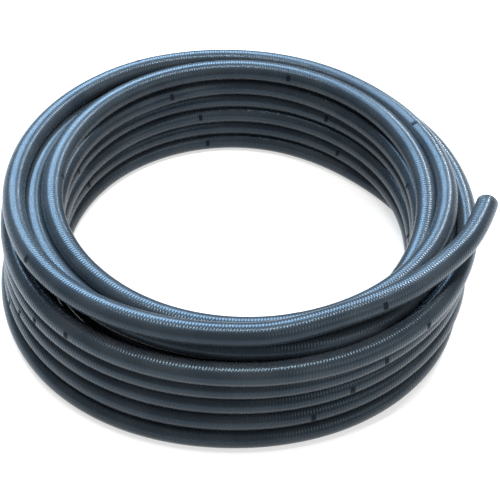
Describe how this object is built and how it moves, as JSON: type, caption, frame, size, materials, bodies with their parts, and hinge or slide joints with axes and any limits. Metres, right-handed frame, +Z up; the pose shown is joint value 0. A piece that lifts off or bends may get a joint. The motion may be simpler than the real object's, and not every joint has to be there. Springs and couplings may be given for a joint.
{
  "type": "coiled waste hose",
  "caption": "Coil of smooth round spiral-reinforced flexible hose for draining waste water from a caravan, stacked turns with one cut end left free.",
  "frame": {"origin": "on the floor under the centre of the part's box", "axes": "+Z up from the floor that the coil lies on, +X towards the side that the free end leaves, +Y away from the front of the coil"},
  "size_m": [0.7226, 0.694, 0.209],
  "materials": {
    "hose_wall": "smooth semi-gloss soft PVC, dark slate blue",
    "spiral": "rigid PVC wire, dark grey"
  },
  "bodies": {
    "root": {"stacked_turns": "hose_wall", "last_turn": "hose_wall", "free_run": "hose_wall", "mouth_outer_skin": "hose_wall", "mouth_reinforcing_spiral": "spiral", "mouth_inner_skin": "hose_wall"}
  },
  "joints": []
}
